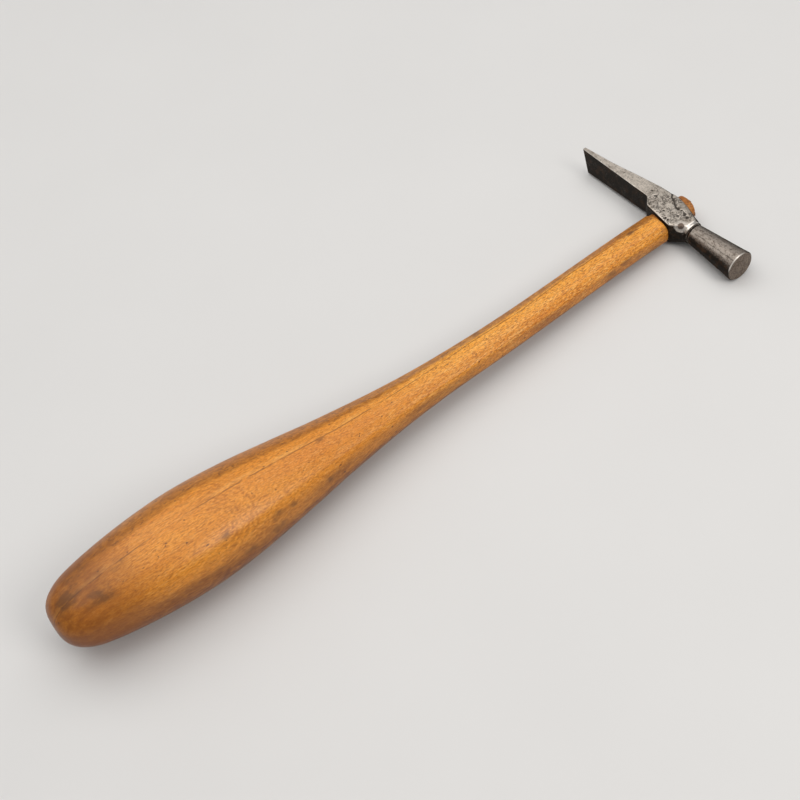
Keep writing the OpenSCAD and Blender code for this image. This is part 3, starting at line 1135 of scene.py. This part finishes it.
def figured(m, colour):
    """A painted highlight along the ridge beyond the grain line, the mottled strip with its painted
    shade, and the turning marks.
    """
    beyond, band = m.paint("line"), m.paint("band")
    # Painted highlight: a pale line along the ridge just beyond the grain line.
    ridge_highlight = m.times(m.step(beyond, 0.515, 0.535), m.rest(m.step(beyond, 0.60, 0.70)))
    patchy = m.step(m.noise((0.12, 1, 1), 5.0, 2, 0.5), 0.42, 0.66)
    colour = m.over(colour, PALE_HONEY, m.times(ridge_highlight, patchy), 0.30)
    mottle = m.step(m.noise((0.50, 1, 1), 1.5, 4, 0.7), 0.44, 0.60)
    # The mottled strip, darkened further as painted shade on the far side.
    colour = m.over(colour, STRIP_AND_SHADE_BROWN, band, m.between(mottle, 0.48, 0.90))
    worms = m.step(m.noise((0.5, 1, 1), 0.9, 3, 0.65), 0.56, 0.66)
    colour = m.over(colour, UMBER, band, m.times(worms, 0.7))
    return m.over(colour, FLECK, m.times(arc_marks(m), m.paint("arcs")), 0.42)


def darkened(m, colour, butt, stain):
    """Painted shade on the low side, and dirt from handling on the butt and the stains."""
    cloud = m.step(m.noise((0.25, 1.2, 1.2), 0.9, 4, 0.7), 0.38, 0.62)
    # Painted shade: the low side turns a darker brown.
    colour = m.over(colour, UNDERSIDE_SHADE_BROWN, m.paint("low"), m.between(cloud, 0.62, 0.98))
    smoke = m.noise((0.35, 1, 1), 2.4, 4, 0.65)
    colour = m.over(colour, BUTT_BROWN, butt, m.between(m.step(smoke, 0.35, 0.65), 0.66, 0.92))
    return m.over(colour, STAIN_BROWN, stain, m.between(m.step(smoke, 0.36, 0.62), 0.40, 0.95))


def marked(m, colour):
    """The grain line, the sooty end of the tenon, and a few dark dots."""
    tenon = m.paint("tenon")
    colour = m.over(colour, UMBER, grain_line(m), 0.60)
    colour = m.over(colour, END_GRAIN, tenon, 0.75)
    sooty = m.step(m.noise((1, 1, 0.4), 0.9, 4, 0.65), 0.46, 0.60)
    colour = m.over(colour, UMBER, m.times(tenon, sooty), 0.6)
    return m.over(colour, UMBER, m.step(m.noise((0.7, 1, 1), 1.3, 1, 0.4), 0.755, 0.785), 0.75)


def handle_wood():
    m = Shader("handle_wood")
    butt, stain = m.paint("butt"), m.paint("stain")
    streaks = m.noise((0.03, 1, 1), 0.8, 4, 0.65)
    fleck = m.noise((0.38, 1.2, 1.2), 0.62, 3, 0.6, 0.8)
    pores = m.noise((0.30, 1.5, 1.5), 0.38, 2, 0.5)
    colour = flecked(m, plain_wood(m, streaks), fleck, pores)
    colour = darkened(m, figured(m, colour), butt, stain)
    rough = m.between(m.step(streaks, 0.3, 0.7), 0.40, 0.50)
    rough = m.plus(rough, m.times(m.plus(stain, butt), 0.08), clamp=True)
    height = m.rest(m.plus(m.times(fleck, 0.5), m.times(pores, 0.5)))
    normal = m.bump(height, 0.28, 0.10 * MM)
    normal = m.bump(m.noise((0.4, 1, 1), 2.2, 3, 0.5), 0.25, 0.16 * MM, normal)
    m.set(Base_Color=marked(m, colour), Roughness=rough, Normal=normal, Specular_IOR_Level=0.20)
    m.set(Coat_Weight=0.42, Coat_Roughness=0.29)
    return m.material


DRY_WOOD = (0.30, 0.135, 0.05)
DRY_WOOD_DARK = (0.17, 0.07, 0.028)


def wedge_wood():
    m = Shader("wedge_wood")
    streaks = m.noise((0.2, 1, 1), 0.5, 4, 0.6)
    dots = m.noise(EVEN, 0.25, 3, 0.6)
    colour = m.mix(m.step(streaks, 0.4, 0.65), DRY_WOOD, DRY_WOOD_DARK)
    colour = m.over(colour, UMBER, m.step(dots, 0.56, 0.66), 0.6)
    m.set(Base_Color=colour, Roughness=m.between(streaks, 0.5, 0.75), Normal=m.bump(dots, 0.4, 0.08 * MM))
    return m.material


def wedge_steel():
    m = Shader("wedge_steel")
    rusty = m.step(m.noise(EVEN, 1.2, 4, 0.6), 0.42, 0.62)
    fine = m.noise(EVEN, 0.25, 3, 0.6)
    m.set(Base_Color=m.mix(rusty, CUT_STEEL, UMBER_RUST), Metallic=m.between(rusty, 0.9, 0.35))
    m.set(Roughness=m.between(fine, 0.42, 0.68), Normal=m.bump(fine, 0.5, 0.05 * MM))
    return m.material


def finish_wedges():
    for name, make in (("wood_wedge", wedge_wood), ("steel_wedge", wedge_steel)):
        piece = frame["nodes"][name]
        material = make()
        if not piece.data.materials:
            piece.data.materials.append(material)
        for slot in piece.material_slots:
            slot.material = material


# ---- the studio

# The camera, as seen from its target: degrees round from -Y toward +X, degrees up, and its tilt.
VIEW_AZIMUTH = -25.78
VIEW_ELEVATION = 50.62
VIEW_ROLL = -14.12
VIEW_TARGET = (0.0035, 0.0, 0.0)
VIEW_DISTANCE = 0.5162
LENS_MM, SENSOR_MM = 63.0, 36.0
# Each softbox: its name, place, aim, width and height, watts and colour.
SOFTBOXES = (
    ("overhead", (0.13, 0.15, 1.0), (0.06, 0.06, 0), (1.50, 1.40), 9.4, (1.0, 0.985, 0.965)),
    ("key", (-0.38, 0.85, 0.80), (0, 0, 0), (0.80, 0.80), 1.5, (1.0, 0.985, 0.96)),
    ("near_side", (0.30, -0.85, 0.80), (0.02, 0, 0), (0.45, 0.45), 4.0, (1.0, 0.97, 0.94)),
)
WORLD_TONE = (0.97, 0.98, 1.0)
WORLD_STRENGTH = 0.30
FLOOR_HALF = 6.0
FLOOR_TONES = ((0.67, 0.662, 0.65), (0.71, 0.702, 0.69))


def studio_camera():
    a, e, roll = (math.radians(d) for d in (VIEW_AZIMUTH, VIEW_ELEVATION, VIEW_ROLL))
    back = Vector((math.sin(a) * math.cos(e), -math.cos(a) * math.cos(e), math.sin(e)))
    level = Vector((math.cos(a), math.sin(a), 0))
    up = back.cross(level)
    right = level * math.cos(roll) + up * math.sin(roll)
    top = up * math.cos(roll) - level * math.sin(roll)
    lens = bpy.data.cameras.new("camera")
    lens.lens = LENS_MM
    lens.sensor_width = SENSOR_MM
    lens.clip_start = 0.01
    camera = object_from("camera", lens)
    pose = Matrix((right, top, back)).transposed().to_4x4()
    pose.translation = Vector(VIEW_TARGET) + back * VIEW_DISTANCE
    camera.matrix_world = pose
    bpy.context.scene.camera = camera


def softbox(name, place, aim, size, watts, colour):
    light = bpy.data.lights.new(name, "AREA")
    light.shape = "RECTANGLE"
    light.size, light.size_y = size
    light.energy = watts
    light.color = colour
    lamp = object_from(name, light)
    lamp.location = place
    lamp.rotation_euler = (Vector(aim) - Vector(place)).to_track_quat("-Z", "Y").to_euler()


def studio_world():
    world = bpy.data.worlds.new("studio")
    world.use_nodes = True
    background = world.node_tree.nodes["Background"]
    background.inputs[0].default_value = WORLD_TONE + (1.0,)
    background.inputs[1].default_value = WORLD_STRENGTH
    bpy.context.scene.world = world
    bpy.context.scene.view_settings.view_transform = "Standard"


def studio_floor():
    corners = [(x * FLOOR_HALF, y * FLOOR_HALF, 0) for x, y in ((-1, -1), (1, -1), (1, 1), (-1, 1))]
    mesh = bpy.data.meshes.new("floor")
    mesh.from_pydata(corners, [], [(0, 1, 2, 3)])
    floor = object_from("floor", mesh)
    m = Shader("pale_floor")
    m.set(Base_Color=m.mix(m.noise(EVEN, 90.0, 3, 0.5), *FLOOR_TONES), Roughness=0.62)
    mesh.materials.append(m.material)


studio_camera()
for box in SOFTBOXES:
    softbox(*box)
studio_world()
studio_floor()
make_head()
make_handle()
finish_wedges()

bpy.context.view_layer.update()
